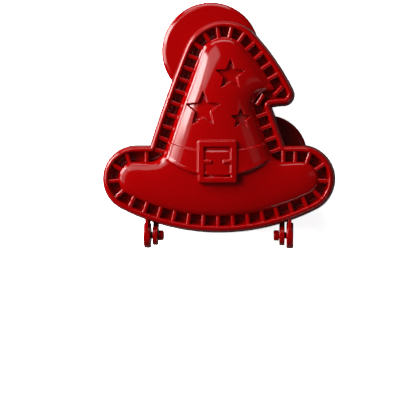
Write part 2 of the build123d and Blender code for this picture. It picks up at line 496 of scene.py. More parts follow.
class Pillow:
    """A smooth pillow over a region: 0 on its edge, nearing 1 far inside, without a crease.

    The pillow minus the softness squared times its Laplacian is 1 inside the region. It is solved on
    a grid and kept as its ratio to 1 - exp(-depth / softness), which is smooth up to the edge.
    """

    STEP = 1.0
    MARGIN = 4
    ROUNDS = 1500
    SPREAD_ROUNDS = 200
    LEAST_DEPTH = 0.1

    def __init__(self, outline: Outline, dome: Dome) -> None:
        """Solves the pillow over what lies deeper inside an outline than the dome's inset.

        Args:
            outline: The outline.
            dome: The inset, the softness and the fullness.
        """
        self.dome = dome
        self.low = outline.points.min(axis=0) - self.MARGIN
        size = np.ceil((outline.points.max(axis=0) + self.MARGIN - self.low) / self.STEP).astype(int)
        across, up = np.meshgrid(*(np.arange(n) * self.STEP for n in size), indexing="ij")
        places = np.column_stack((across.ravel(), up.ravel())) + self.low
        deep = outline.distance(places).reshape(across.shape) - dome.inset
        self.shape = self.solve(deep)
        self.scale = 1.0
        middle = np.array([FULL_HEIGHT_AT])
        self.scale = 1 / self.height(middle, outline.distance(middle) - dome.inset)[0]

    @staticmethod
    def neighbours(field: Array) -> Array:
        """Sum of the four neighbours of each grid point."""
        return np.roll(field, 1, 0) + np.roll(field, -1, 0) + np.roll(field, 1, 1) + np.roll(field, -1, 1)

    def solve(self, deep: Array) -> Array:
        """The pillow's ratio to its plain curve on the grid, spread outwards from where it is known.

        Args:
            deep: How deep each grid point lies in the region.

        Returns:
            The ratio at each grid point.
        """
        ratio = (self.STEP / self.dome.softness) ** 2
        field = np.where(deep > 0, 0.5, 0.0)
        for _ in range(self.ROUNDS):
            field = np.where(deep > 0, (ratio + self.neighbours(field)) / (4 + ratio), 0)
        plain = 1 - np.exp(-np.maximum(deep, self.LEAST_DEPTH) / self.dome.softness)
        known = deep > 2 * self.STEP
        shape = np.where(known, field / plain, 1.0)
        for _ in range(self.SPREAD_ROUNDS):
            shape = np.where(known, shape, self.neighbours(shape) / 4)
        return shape

    def height(self, places: Array, deep: Array) -> Array:
        """The pillow at places: a smooth cubic through the grid's ratios, times the plain curve.

        Args:
            places: Points (u, v).
            deep: Their depths inside the region.

        Returns:
            The pillow's share of its height at FULL_HEIGHT_AT.
        """
        spot = (places - self.low) / self.STEP
        corner = np.floor(spot).astype(int)
        share = spot - corner
        total = np.zeros(len(places))
        weights = [cubic_weights(share[:, axis]) for axis in (0, 1)]
        limit = np.array(self.shape.shape) - 1
        for i in range(4):
            for j in range(4):
                a = np.clip(corner[:, 0] + i - 1, 0, limit[0])
                b = np.clip(corner[:, 1] + j - 1, 0, limit[1])
                total += weights[0][i] * weights[1][j] * self.shape[a, b]
        return self.scale * np.maximum(total, 0) * (1 - np.exp(-np.maximum(deep, 0) / self.dome.softness))

    def lift(self, places: Array, deep: Array) -> Array:
        """The dome's share of its full lift: the pillow to the power of the dome's fullness."""
        return self.height(places, deep) ** self.dome.fullness


@dataclass(frozen=True)
class Shell:
    """Cross-section of one half, from its outer edge inwards."""

    half: Half
    rim_height: float
    floor: float
    pocket: float
    draft: float
    foot: float = HALF_GAP
    rim_inside: float = RIM_WIDTH - 0.05
    channel_outside: float = RIM_WIDTH + 1.3
    channel_inside: float = BODY_INSET - 0.5
    wall_foot: Point = (BODY_INSET - 0.02, WALL_TOP - 0.6)
    rim_roundings: Point = (2.2, 0.7)
    channel_rounding: float = 1.8
    pocket_slope: float = 0.2
    pocket_rounding: float = 0.3
    cavity_rounding: float = 0.4

    @property
    def name(self) -> str:
        """The CAD node's name."""
        return f"{self.half.name.lower()}_shell"

    def outside(self) -> Array:
        """Distance inwards and height of the rim and the channel's floor, as a line of points."""
        corners = (
            (-LIP, self.foot),
            (self.draft - LIP, self.rim_height),
            (self.rim_inside, self.rim_height),
            (self.channel_outside, self.floor),
            (self.channel_inside, self.floor),
            self.wall_foot,
        )
        radii = (0, *self.rim_roundings, self.channel_rounding, self.channel_rounding, 0)
        return rounded_profile(corners, radii, steps=5)

    def inside(self) -> Array:
        """Distance inwards and height of the faces that meet the pie's edge."""
        edge = BODY_INSET + WALL
        foot_of_cavity = edge - self.pocket_slope
        corners = [(-LIP, self.foot)]
        radii = [0.0]
        if self.pocket > self.foot:
            corners += [(RIM_WIDTH, self.foot), (RIM_WIDTH + self.pocket_slope, self.pocket)]
            radii += [self.pocket_rounding, self.pocket_rounding]
        corners += [(foot_of_cavity, max(self.pocket, self.foot)), (edge, WALL_TOP - WALL)]
        radii += [self.cavity_rounding, 0.0]
        return rounded_profile(corners, radii, steps=3)


FRONT_SHELL = Shell(Half.FRONT, rim_height=9.5, floor=2.15, pocket=0.15, draft=1.25)
REAR_SHELL = Shell(Half.REAR, rim_height=8.0, floor=4.5, pocket=2.5, draft=0.12)


class Relief:
    """The hat's relief: its outlines, its two domes and the heights that they give."""

    SEAM = 0.01
    CROWN_EDGE = (-0.1, 0.12)
    STAR_REACH = 14.0
    FAR_OUTSIDE = -9.0

    def __init__(self) -> None:
        """Draws every outline once and solves the two pillows."""
        self.hat = Outline.from_loop(HAT.loop(), SPACING)
        self.crown = Outline.from_loop(HAT.crown_loop(), SPACING)
        self.brim_pillow = Pillow(self.hat, BRIM)
        self.crown_pillow = Pillow(self.crown, CROWN)
        self.stars = [Outline.from_loop(star.loop(), FINE_SPACING, 0.3, 0.25) for star in STARS]
        self.buckle = Outline.from_loop(BUCKLE.outer_loop(), FINE_SPACING, 0.5, BUCKLE.corner / 2)
        self.opening = Outline.from_loop(BUCKLE.opening_loop(), FINE_SPACING, 0.3, 0.3)

    def wall_heights(self, shell: Shell, places: Array) -> tuple:
        """Heights of a half's outer and inner faces over the parting plane.

        Args:
            shell: The half's cross-section.
            places: Points (u, v).

        Returns:
            The outer heights and the inner ones.
        """
        deep = self.hat.distance(places)
        crowned = shell.half is Half.FRONT
        heights = []
        for profile, shift in ((shell.outside(), 0), (shell.inside(), WALL)):
            height = np.interp(deep, profile[:, 0], profile[:, 1])
            on_body = deep > BODY_INSET + shift - self.SEAM
            height[on_body] = self.body(places[on_body], deep[on_body], shift, crowned)
            heights.append(height)
        return tuple(heights)

    def body(self, places: Array, deep: Array, shift: float, crowned: bool) -> Array:
        """Height of the domed body, drawn inwards and lowered by a shift.

        Args:
            places: Points (u, v).
            deep: Their distances inside the hat's outline.
            shift: 0 for the outer face, the wall's thickness for the cavity.
            crowned: Whether the crown, belt and stars stand on it, and the buckle on its outer face.

        Returns:
            Heights over the parting plane.
        """
        lift = self.brim_pillow.lift(places, deep - BRIM.inset - shift)
        if crowned:
            lift = lift * (1 - BRIM_FADE * smoothstep(*BRIM_FADES_OVER, places[:, 1]))
        height = BRIM.rise(lift)
        if crowned:
            height = self.add_crown(places, height, shift)
        if crowned and shift == 0:
            height = self.add_buckle(places, height)
        return height - shift

    def add_crown(self, places: Array, height: Array, shift: float) -> Array:
        """Raises the crown with the belt round it, and sinks the crease and the stars.

        Args:
            places: Points (u, v).
            height: The brim's heights.
            shift: 0 for the outer face, the wall's thickness for the cavity.

        Returns:
            The new heights.
        """
        deep = self.crown.distance(places) - CROWN.inset - shift
        lift = self.crown_pillow.lift(places, deep)
        crown = CROWN.rise(lift * (1 - CROWN_FALL * smoothstep(*CROWN_FALLS_OVER, places[:, 1])))
        crown = crown + BELT.raised(places)
        over_belt = smoothstep(shift - BELT.step, shift + BELT.step, BELT.over_bottom(places))
        shown = smoothstep(*self.CROWN_EDGE, deep) * over_belt
        height = height + (np.maximum(crown, height) - height) * shown
        height = height - shown * CREASE.sunk(places)
        for star in self.stars:
            near = np.hypot(*(places - star.points.mean(axis=0)).T) < self.STAR_REACH
            sunk = np.zeros(len(places))
            inside = star.distance(places[near]) + shift / 2
            sunk[near] = smoothstep(-STAR_EDGE, STAR_EDGE, inside)
            height = height - STAR_DEPTH * sunk
        return height

    def add_buckle(self, places: Array, height: Array) -> Array:
        """Raises the buckle's rounded bars and the panel inside them.

        Args:
            places: Points (u, v).
            height: The crown's heights.

        Returns:
            The new heights.
        """
        near = np.hypot(places[:, 0], places[:, 1] - BUCKLE.middle) < BUCKLE.reach
        outer, inner = np.full((2, len(places)), self.FAR_OUTSIDE)
        outer[near] = self.buckle.distance(places[near])
        inner[near] = self.opening.distance(places[near])
        panel = height + BUCKLE.panel_rise * smoothstep(0.6, 1.2, inner)
        bars = rounded_step(outer, -BUCKLE.edge, BUCKLE.rounding)
        bars = bars * rounded_step(-inner, -BUCKLE.edge, BUCKLE.rounding)
        top = BUCKLE.top - BUCKLE.bow * places[:, 0] ** 2
        return panel + (top - panel) * bars


# Meshes


@dataclass(frozen=True)
class Solid:
    """A closed solid: its vertices, its four-cornered side faces and its two flat ends."""

    points: Array
    quads: Array
    ends: tuple[range, range]


def to_scene(local: Array) -> Array:
    """Mold coordinates in millimetres to the frame's, in metres."""
    return (local + HINGE) * MM


def add_piece(name: str, mesh: Mesh, body: Half) -> Object:
    """Puts a mesh into the scene as a red plastic piece that rides on a half.

    Args:
        name: The piece's name.
        mesh: Its mesh.
        body: The half it moves with.

    Returns:
        The new object.
    """
    piece = bpy.data.objects.new(name, mesh)
    bpy.context.scene.collection.objects.link(piece)
    mesh.materials.append(RED.material())
    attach(piece, body.name.lower())
    LOG.info("%s: %d faces", name, len(mesh.polygons))
    return piece


def rounded_profile(corners: Sequence[Point], radii: Sequence[float], steps: int = 6) -> Array:
    """A line through corners, each rounded by an arc that touches both of its sides.

    Args:
        corners: The line's corners and ends.
        radii: A radius for each of them, where 0 leaves it sharp. The ends stay as they are.
        steps: How many pieces each arc has.

    Returns:
        The line's points.
    """
    corners = [np.asarray(corner, float) for corner in corners]
    points = [corners[0]]
    for before, corner, after, radius in zip(corners, corners[1:], corners[2:], radii[1:]):
        if radius == 0:
            points.append(corner)
            continue
        back = (before - corner) / np.linalg.norm(before - corner)
        ahead = (after - corner) / np.linalg.norm(after - corner)
        half = math.acos(np.clip(back @ ahead, -1, 1)) / 2
        reach = radius / math.tan(half)
        centre = corner + (back + ahead) / np.linalg.norm(back + ahead) * radius / math.sin(half)
        first, last = corner + back * reach - centre, corner + ahead * reach - centre
        sweep = math.pi - 2 * half
        shares = np.linspace(0, 1, steps + 1)[:, None]
        arc = np.sin((1 - shares) * sweep) * first + np.sin(shares * sweep) * last
        points.extend(centre + arc / math.sin(sweep))
    points.append(corners[-1])
    return np.array(points)


def revolved(profile: Array, centre: Sequence[float], axis: int) -> Solid:
    """Turns a profile of (along, radius) points round an axis through a centre.

    Args:
        profile: Points from one end of the solid to the other.
        centre: A point on the axis.
        axis: The axis's number: 0 for u, 2 for w.

    Returns:
        The solid, closed by tiny end caps.
    """
    angles = np.linspace(0, 2 * math.pi, SEGMENTS, endpoint=False)
    others = [(axis + 1) % 3, (axis + 2) % 3]
    rings = np.zeros((len(profile), SEGMENTS, 3))
    rings[..., axis] = profile[:, 0, None]
    rings[..., others[0]] = profile[:, 1, None] * np.cos(angles)
    rings[..., others[1]] = profile[:, 1, None] * np.sin(angles)
    points = rings.reshape(-1, 3) + np.asarray(centre)
    row, column = np.meshgrid(np.arange(len(profile) - 1), np.arange(SEGMENTS), indexing="ij")
    a, b = row * SEGMENTS + column, row * SEGMENTS + (column + 1) % SEGMENTS
    quads = np.stack((a, b, b + SEGMENTS, a + SEGMENTS), axis=-1).reshape(-1, 4)
    return Solid(points, quads, (range(SEGMENTS), range(len(points) - SEGMENTS, len(points))))


def extruded(section: Array, start: Array, across: Array, up: Array,
             reach: Array) -> Solid:
    """Carries a closed section along a vector.

    Args:
        section: Its points.
        start: Where the section's origin lies.
        across: Direction of the section's first coordinate.
        up: Direction of its second coordinate.
        reach: The vector that it is carried along.

    Returns:
        The solid.
    """
    ring = start + section[:, :1] * across + section[:, 1:] * up
    count = len(section)
    here = np.arange(count)
    beside = (here + 1) % count
    quads = np.column_stack((here, beside, beside + count, here + count))
    return Solid(np.vstack((ring, ring + reach)), quads, (range(count), range(count, 2 * count)))


def join_solids(name: str, solids: Sequence[Solid], body: Half) -> Object:
    """Makes one piece of several closed solids, with its faces turned outwards.

    Args:
        name: The piece's name.
        solids: The solids.
        body: The half it moves with.

    Returns:
        The new object.
    """
    faces, first = [], 0
    for solid in solids:
        rings = [*solid.quads.tolist(), *solid.ends]
        faces.extend([i + first for i in ring] for ring in rings)
        first += len(solid.points)
    mesh = bpy.data.meshes.new(name)
    mesh.from_pydata(to_scene(np.vstack([solid.points for solid in solids])).tolist(), [], faces)
    work = bmesh.new()
    work.from_mesh(mesh)
    bmesh.ops.recalc_face_normals(work, faces=work.faces)
    work.to_mesh(mesh)
    work.free()
    mesh.polygons.foreach_set("use_smooth", [True] * len(mesh.polygons))
    mesh.set_sharp_from_angle(angle=math.radians(35))
    return add_piece(name, mesh, body)


# The pieces


@dataclass
class HatHalf:
    """One half as a closed shell: its outer relief and the faces inside it, joined at the parting edge.

    Its mesh has rows of points along every edge of the relief and a grid between them.
    """

    shell: Shell
    relief: Relief
    body_steps: tuple = (0.12, 0.3, 0.55, 0.9, 1.35, 1.8)
    cavity_steps: tuple = (-1.08, -0.85, -0.5, 0)
    cavity_edge: float = BODY_INSET + WALL + 1.2
    crown_steps: tuple = (-0.5, -0.1, 0.12, 0.4, 0.9)
    buckle_steps: tuple = (-0.6, -0.2, -0.12, 0.05, 0.3, 0.6, 0.95)
    opening_steps: tuple = (-0.95, -0.6, -0.3, -0.05, 0.12, 0.2, 0.6, 0.9, 1.2)
    star_steps: tuple = (-0.6, -0.32, -0.12, 0.12, 0.32, 0.7)
    crown_foot: Point = (42, 57)
    row_gap: float = 0.3
    least_gap: float = 0.03

    def build(self) -> Object:
        """Builds the half and puts it in the place of its CAD node."""
        shell, relief = self.shell, self.relief
        points, pairs = self.plane_points()
        made = delaunay_2d_cdt([Vector(p) for p in points.tolist()], pairs.tolist(), [], 1, 1e-6, False)
        flat = np.array([tuple(v) for v in made[0]])
        triangles = self.kept_triangles(flat, np.array(made[2]))
        outer, inner = relief.wall_heights(shell, flat)
        side = shell.half.value
        numbers = np.arange(len(flat))
        on_edge = relief.hat.distance(flat) < 0.02 - LIP
        below = np.where(on_edge, numbers, numbers + len(flat))
        upper, lower = (np.column_stack((flat, side * height)) for height in (outer, inner))
        faces = np.vstack((triangles, below[triangles][:, ::-1]))
        if shell.half is Half.REAR:
            faces = faces[:, ::-1]
        used, renumbered = np.unique(faces, return_inverse=True)
        name = f"{shell.half.name.lower()}_relief"
        mesh = bpy.data.meshes.new(name)
        vertices = to_scene(np.vstack((upper, lower))[used])
        mesh.from_pydata(vertices.tolist(), [], renumbered.reshape(faces.shape).tolist())
        mesh.polygons.foreach_set("use_smooth", [True] * len(mesh.polygons))
        mesh.validate()
        piece = add_piece(name, mesh, shell.half)
        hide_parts(shell.name)
        return piece

    def kept_triangles(self, flat: Array, triangles: Array) -> Array:
        """Turns triangles anticlockwise, and drops those without area and those outside the outline.

        Args:
            flat: Points as u and v.
            triangles: Their numbers in each triangle.

        Returns:
            The triangles that are left.
        """
        a, b, c = (flat[triangles[:, i]] for i in range(3))
        area = (b[:, 0] - a[:, 0]) * (c[:, 1] - a[:, 1]) - (b[:, 1] - a[:, 1]) * (c[:, 0] - a[:, 0])
        triangles[area < 0] = triangles[area < 0][:, ::-1]
        inside = self.relief.hat.distance((a + b + c) / 3) > -LIP
        return triangles[inside & (np.abs(area) > 1e-7)]

    def plane_points(self) -> tuple:
        """Points for the mesh: rows along the outlines and a grid over the rest.

        Returns:
            The points and the pairs of neighbours that the mesh keeps as edges.
        """
        hat = self.relief.hat
        profiles = np.vstack((self.shell.outside(), self.shell.inside()))
        offsets = sorted({round(d, 3) for d in profiles[:, 0]})
        spread = [offsets[0]]
        for offset in offsets[1:]:
            if offset - spread[-1] > self.least_gap:
                spread.append(offset)
        spread += [BODY_INSET + step for step in self.body_steps]
        spread += [self.cavity_edge + step for step in self.cavity_steps]
        found = [hat.rows(sorted(set(spread)))]
        if self.shell.half is Half.FRONT:
            found += self.relief_rows()
        groups, links, total = [], [], 0
        for points, pairs in found:
            groups.append(points)
            links.append(pairs + total)
            total += len(points)
        rows = np.vstack(groups)
        low, high = hat.points.min(axis=0), hat.points.max(axis=0)
        across, up = np.meshgrid(np.arange(low[0], high[0], GRID), np.arange(low[1], high[1], GRID))
        grid = np.column_stack((across.ravel(), up.ravel()))
        grid = grid[hat.distance(grid) > self.cavity_edge + 0.4]
        taken = {tuple(cell) for cell in np.round(rows / CLEARANCE).astype(int).tolist()}
        free = [tuple(cell) not in taken for cell in np.round(grid / CLEARANCE).astype(int).tolist()]
        return np.vstack((rows, grid[free])), np.vstack(links)

    def relief_rows(self) -> list:
        """Rows of points beside the crown's foot, the buckle, the stars and the belt's edges.

        Returns:
            Pairs of points and of the neighbours along their rows.
        """
        relief = self.relief

        def on_face(places: Array) -> Array:
            """Whether places lie on the body, clear of its edge."""
            return relief.hat.distance(places) > self.cavity_edge + self.row_gap

        def over_brim(places: Array) -> Array:
            """Whether places lie where the crown rises from the brim."""
            low, high = self.crown_foot
            return (places[:, 1] < high) & (places[:, 1] > low) & on_face(places)

        found = [
            relief.crown.rows([CROWN.inset + step for step in self.crown_steps], over_brim),
            relief.buckle.rows(self.buckle_steps),
            relief.opening.rows(self.opening_steps),
        ]
        found += [star.rows(self.star_steps) for star in relief.stars]
        clear = BELT.step
        for centre, radius in (BELT.bottom, BELT.top):
            angles = np.linspace(-1.0, 1.0, int(2.0 * radius / CLEARANCE))
            for step in (-clear - self.row_gap, -clear, -clear / 3, clear / 3, clear, clear + self.row_gap):
                arc = np.column_stack((np.sin(angles), -np.cos(angles))) * (radius + step) + (0, centre)
                keep = on_face(arc) & (relief.buckle.distance(arc) < -0.8)
                numbers = np.cumsum(keep) - 1
                linked = keep[:-1] & keep[1:]
                found.append((arc[keep], np.column_stack((numbers[:-1], numbers[1:]))[linked]))
        return found


@dataclass(frozen=True)
class CrimpBars:
    """Rounded bars across the crimp channel: the front half's ribs or the rear half's teeth."""

    name: str
    shell: Shell
    base: float
    top: float
    width: float
    length: float
    rounding: float
    flare: float = 0.3

    def build(self) -> Object:
        """Builds a bar in the place of each one of the CAD node, as one piece."""
        bars = [self.bar(middle, across) for middle, across in self.places()]
        return join_solids(self.name, bars, self.shell.half)

    def places(self) -> list:
        """Middles of the CAD node's bars and unit vectors along them, from the faces of their flat tops."""
        mesh = frame["nodes"][self.shell.name].data
        points = np.array([tuple(v.co) for v in mesh.vertices]) / MM - HINGE
        triangles = np.array([tuple(p.vertices) for p in mesh.polygons])
        tops = triangles[(np.abs(points[triangles, 2] - self.top) < 0.005).all(axis=1)]
        corners, numbers = np.unique(np.round(points[tops.ravel(), :2], 3), axis=0, return_inverse=True)
        tops = numbers.reshape(tops.shape)
        # Corners that share a triangle take the lowest label among them, until each bar has one label
        labels = np.arange(len(corners))
        while True:
            lowest = labels.copy()
            np.minimum.at(lowest, tops, labels[tops].min(axis=1)[:, None])
            if (lowest == labels).all():
                break
            labels = lowest
        found = []
        for label in np.unique(labels):
            spots = corners[labels == label]
            _, _, axes = np.linalg.svd(spots - spots.mean(axis=0), full_matrices=False)
            reaches = (spots - spots.mean(axis=0)) @ axes.T
            middle = spots.mean(axis=0) + (reaches.max(axis=0) + reaches.min(axis=0)) / 2 @ axes
            found.append((middle, axes[0]))
        return found

    def bar(self, middle: Array, across: Array) -> Solid:
        """One bar, its long top edges rounded.

        Args:
            middle: Its middle as u and v.
            across: Unit vector along it, across the channel.

        Returns:
            The solid.
        """
        half = self.width / 2
        height = abs(self.top - self.base)
        corners = ((-half - self.flare, 0), (-half, height), (half, height), (half + self.flare, 0))
        section = rounded_profile(corners, (0, self.rounding, self.rounding, 0), steps=4)
        side = np.array((-across[1], across[0], 0))
        along = np.array((*across, 0))
        up = np.array((0, 0, math.copysign(1, self.top - self.base)))
        start = np.array((*middle, self.base)) - along * self.length / 2
        return extruded(section, start, side, up, along * self.length)


RIBS = CrimpBars("front_crimp_ribs", FRONT_SHELL, base=1.0, top=8.3, width=2.6, length=7.5, rounding=0.95)
TEETH = CrimpBars("rear_crimp_teeth", REAR_SHELL, base=-3.5, top=-1.5, width=2.2, length=6.9, rounding=0.5)


@dataclass(frozen=True)
class Ear:
    """A hinge ear: its size along the axis, its radius and rounding, and its arm's thickness."""

    thickness: float
    radius: float
    arm: float
    rounding: float

    def disc(self, start: float, side: int) -> Solid:
        """The ear on one side, starting at a place along the axis."""
        end = start + self.thickness
        corners = ((start, AXIS_RADIUS), (start, self.radius), (end, self.radius), (end, AXIS_RADIUS))
        profile = rounded_profile(corners, (0, self.rounding, self.rounding, 0)) * (side, 1)
        return revolved(profile, (0, 0, 0), 0)

    def arm_start(self, start: float) -> float:
        """Where its arm starts along the axis, centred on the ear."""
        return start + (self.thickness - self.arm) / 2


@dataclass(frozen=True)
class Hinges:
    """Ears, arms and webs on both halves, and the pins that join them."""

    reach: float = 45.7
    outer: Ear = Ear(4.2, 7.9, 2.0, 0.8)
    inner: Ear = Ear(3.3, 6.1, 3.26, 0.6)
    ear_gap: float = 1.1
    arm_depth: float = 8.0
    arm_softness: float = 0.35
    web_width: float = 1.8
    web_drop: float = 6.5
    web_depth: float = 5.0
    pin_radius: float = 2.0
    head_radius: float = 3.2
    head_length: float = 3.3
    head_gap: float = 0.2
    head_roundings: Point = (1.0, 0.2)
    pin_end: float = 44.7

    @property
    def outer_start(self) -> float:
        """Where the outer ears start along the axis."""
        return self.reach - self.outer.thickness

    @property
    def inner_start(self) -> float:
        """Where the inner ears start along the axis."""
        return self.outer_start - self.ear_gap - self.inner.thickness

    def build(self) -> None:
        """Builds both hinges."""
        sides = (-1, 1)
        outer_discs = [self.outer.disc(self.outer_start, side) for side in sides]
        inner_discs = [self.inner.disc(self.inner_start, side) for side in sides]
        outer_arms = []
        for side in sides:
            outer_arms += [self.arm(self.outer, self.outer_start, Half.FRONT, side), self.web(side)]
        inner_arms = [self.arm(self.inner, self.inner_start, Half.REAR, side) for side in sides]
        join_solids("front_ears", outer_discs, Half.FRONT)
        self.soften_edges(join_solids("front_ear_arms", outer_arms, Half.FRONT))
        join_solids("rear_ears", inner_discs, Half.REAR)
        self.soften_edges(join_solids("rear_ear_arms", inner_arms, Half.REAR))
        for side, name in zip(sides, ("hinge_pin_left", "hinge_pin_right")):
            piece = join_solids(name + "_head", [self.pin(side)], Half.FRONT)
            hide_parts(name)

    def arm(self, ear: Ear, start: float, half: Half, side: int) -> Solid:
        """The arm that carries an ear, from the disc up into the rim wall.

        Args:
            ear: The ear.
            start: Where the ear starts along the axis.
            half: The half that it belongs to.
            side: 1 on the right, -1 on the left.

        Returns:
            The solid.
        """
        start = ear.arm_start(start)
        root = HAT.rim_above(start) + RIM_WIDTH / 2
        depth = self.arm_depth
        corners = ((0, HALF_GAP), (root, HALF_GAP), (root, depth), (ear.radius, depth), (0, ear.radius))
        section = np.array(corners, float) * (1, half.value)
        axes = np.eye(3)
        return extruded(section, side * start * axes[0], axes[1], axes[2], side * ear.arm * axes[0])

    def web(self, side: int) -> Solid:
        """The small web in the corner between an outer ear's arm and the rim wall."""
        start = self.outer.arm_start(self.outer_start)
        root = HAT.rim_above(start) + RIM_WIDTH / 2
        corners = ((start, root), (start - self.web_width, root), (start, root - self.web_drop))
        section = np.array(corners) * (side, 1)
        axes = np.eye(3)
        return extruded(section, HALF_GAP * axes[2], axes[0], axes[1], self.web_depth * axes[2])

    def pin(self, side: int) -> Solid:
        """A pin with its head inside the inner ear."""
        head_end = self.inner_start - self.head_gap
        head_start = head_end - self.head_length
        corners = (
            (head_start, AXIS_RADIUS),
            (head_start, self.head_radius),
            (head_end, self.head_radius),
            (head_end, self.pin_radius),
            (self.pin_end, self.pin_radius),
            (self.pin_end, AXIS_RADIUS),
        )
        profile = rounded_profile(corners, (0, *self.head_roundings, 0, 0, 0)) * (side, 1)
        return revolved(profile, (0, 0, 0), 0)

    def soften_edges(self, piece: Object) -> None:
        """Rounds a piece's sharp edges by a bevel."""
        bevel = piece.modifiers.new("rounded edges", "BEVEL")
        bevel.width = self.arm_softness * MM
        bevel.segments = 3
        bevel.limit_method = "ANGLE"
        bevel.angle_limit = math.radians(40)


@dataclass(frozen=True)
class PalmPads:
    """The two palm pads on their stems, and the collars of the rear half that hold them."""

    relief: Relief
    spots: tuple = (("crown_pad", -6.2, 114.3, 30.6), ("brim_pad", 28.9, 48.9, 25.5))
    back: float = -27.5
    front: float = -23.0
    slope_width: float = 2.8
    slope_drop: float = 1.2
    roundings: tuple = (1.4, 1.6, 5.0, 1.6, 0.35)
    stem_radius: float = 9.0
    collar_end: float = -18.0
    collar_edge: float = -10.0
    collar_rounding: float = 0.35
    collar_rings: int = 24

    def build(self) -> None:
        """Builds the pads and the collars."""
        for name, u, v, radius in self.spots:
            piece = join_solids(name + "_disc", [self.pad(u, v, radius)], Half.REAR)
            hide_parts(name)
        join_solids("rear_collars", [self.collar(u, v) for _, u, v, _ in self.spots], Half.REAR)

    def pad(self, u: float, v: float, radius: float) -> Solid:
        """A pad that slopes down to its rim, with its stem, at a middle and of a radius."""
        corners = (
            (self.back, AXIS_RADIUS),
            (self.back, radius),
            (self.front - self.slope_drop, radius),
            (self.front, radius - self.slope_width),
            (self.front, self.stem_radius),
            (self.collar_end, self.stem_radius),
            (self.collar_end, AXIS_RADIUS),
        )
        return revolved(rounded_profile(corners, (0, *self.roundings, 0), steps=8), (u, v, 0), 2)

    def collar(self, u: float, v: float) -> Solid:
        """A collar whose root lies in the middle of the rear half's wall, at whatever height that has."""
        side = (
            (self.collar_end, AXIS_RADIUS),
            (self.collar_end, self.stem_radius),
            (self.collar_edge, self.stem_radius),
        )
        edge = rounded_profile(side, (0, self.collar_rounding, 0))[:-1]
        radii = np.linspace(self.stem_radius, AXIS_RADIUS, self.collar_rings)
        root = np.column_stack((np.zeros(self.collar_rings), radii))
        made = revolved(np.vstack((edge, root)), (u, v, 0), 2)
        root_points = made.points[-SEGMENTS * self.collar_rings :]
        outer, inner = self.relief.wall_heights(REAR_SHELL, root_points[:, :2])
        root_points[:, 2] = -(outer + inner) / 2
        return made


# Materials


def linear(colour: str) -> tuple:
    """An sRGB hex colour as linear values with full opacity."""
    parts = [int(colour[i : i + 2], 16) / 255 for i in (1, 3, 5)]
    return tuple(p / 12.92 if p <= 0.04045 else ((p + 0.055) / 1.055) ** 2.4 for p in parts) + (1.0,)


def add_node(tree: NodeTree, kind: str, inputs: dict | None = None,
             links: dict | None = None) -> Node:
    """Adds a shader node with its input values and links.

    Args:
        tree: The node tree.
        kind: The node's type.
        inputs: Values of its inputs, by name or number.
        links: Output sockets that lead to its inputs, by name or number.

    Returns:
        The new node.
    """
    node = tree.nodes.new(kind)
    for name, value in (inputs or {}).items():
        node.inputs[name].default_value = value
    for name, socket in (links or {}).items():
        tree.links.new(socket, node.inputs[name])
    return node


def empty_material(name: str) -> Material:
    """A new material with an empty node tree."""
    material = bpy.data.materials.new(name)
    material.use_nodes = True
    material.node_tree.nodes.clear()
    return material


@dataclass(frozen=True)
class Finish:
    """Glossy injection-moulded plastic: clear reflections, a little waviness and a faint glow inside."""

    name: str
    colour: str
    roughness: float
    ripple: float
    ior: float = 1.5
    glow: float = 0.3
    glow_depth: float = 2.0
    glow_reach: tuple = (1.0, 0.15, 0.1)
    waves_per_metre: float = 90.0
    grain_per_metre: float = 900.0

    def material(self) -> Material:
        """The material, made at its first use: waves 11 mm long, and a grain 1 mm wide in the gloss."""
        known = bpy.data.materials.get(self.name)
        if known is not None:
            return known
        material = empty_material(self.name)
        tree = material.node_tree
        place = add_node(tree, "ShaderNodeTexCoord").outputs["Object"]
        waves = add_node(tree, "ShaderNodeTexNoise", {"Scale": self.waves_per_metre, "Detail": 1.0},
                         {"Vector": place})
        grain = add_node(tree, "ShaderNodeTexNoise", {"Scale": self.grain_per_metre, "Detail": 2.0},
                         {"Vector": place})
        spread = {"From Min": 0.3, "From Max": 0.7, "To Min": self.roughness - 0.02,
                  "To Max": self.roughness + 0.03}
        roughness = add_node(tree, "ShaderNodeMapRange", spread, {"Value": grain.outputs["Fac"]})
        bump = add_node(tree, "ShaderNodeBump", {"Strength": self.ripple, "Distance": 0.001},
                        {"Height": waves.outputs["Fac"]})
        values = {
            "Base Color": linear(self.colour),
            "IOR": self.ior,
            "Subsurface Weight": self.glow,
            "Subsurface Radius": self.glow_reach,
            "Subsurface Scale": self.glow_depth * MM,
        }
        links = {"Roughness": roughness.outputs["Result"], "Normal": bump.outputs["Normal"]}
        shader = add_node(tree, "ShaderNodeBsdfPrincipled", values, links)
        add_node(tree, "ShaderNodeOutputMaterial", None, {"Surface": shader.outputs["BSDF"]})
        return material


RED = Finish("red_moulded_polypropylene", "#a20002", roughness=0.08, ripple=0.02)


# Light and camera


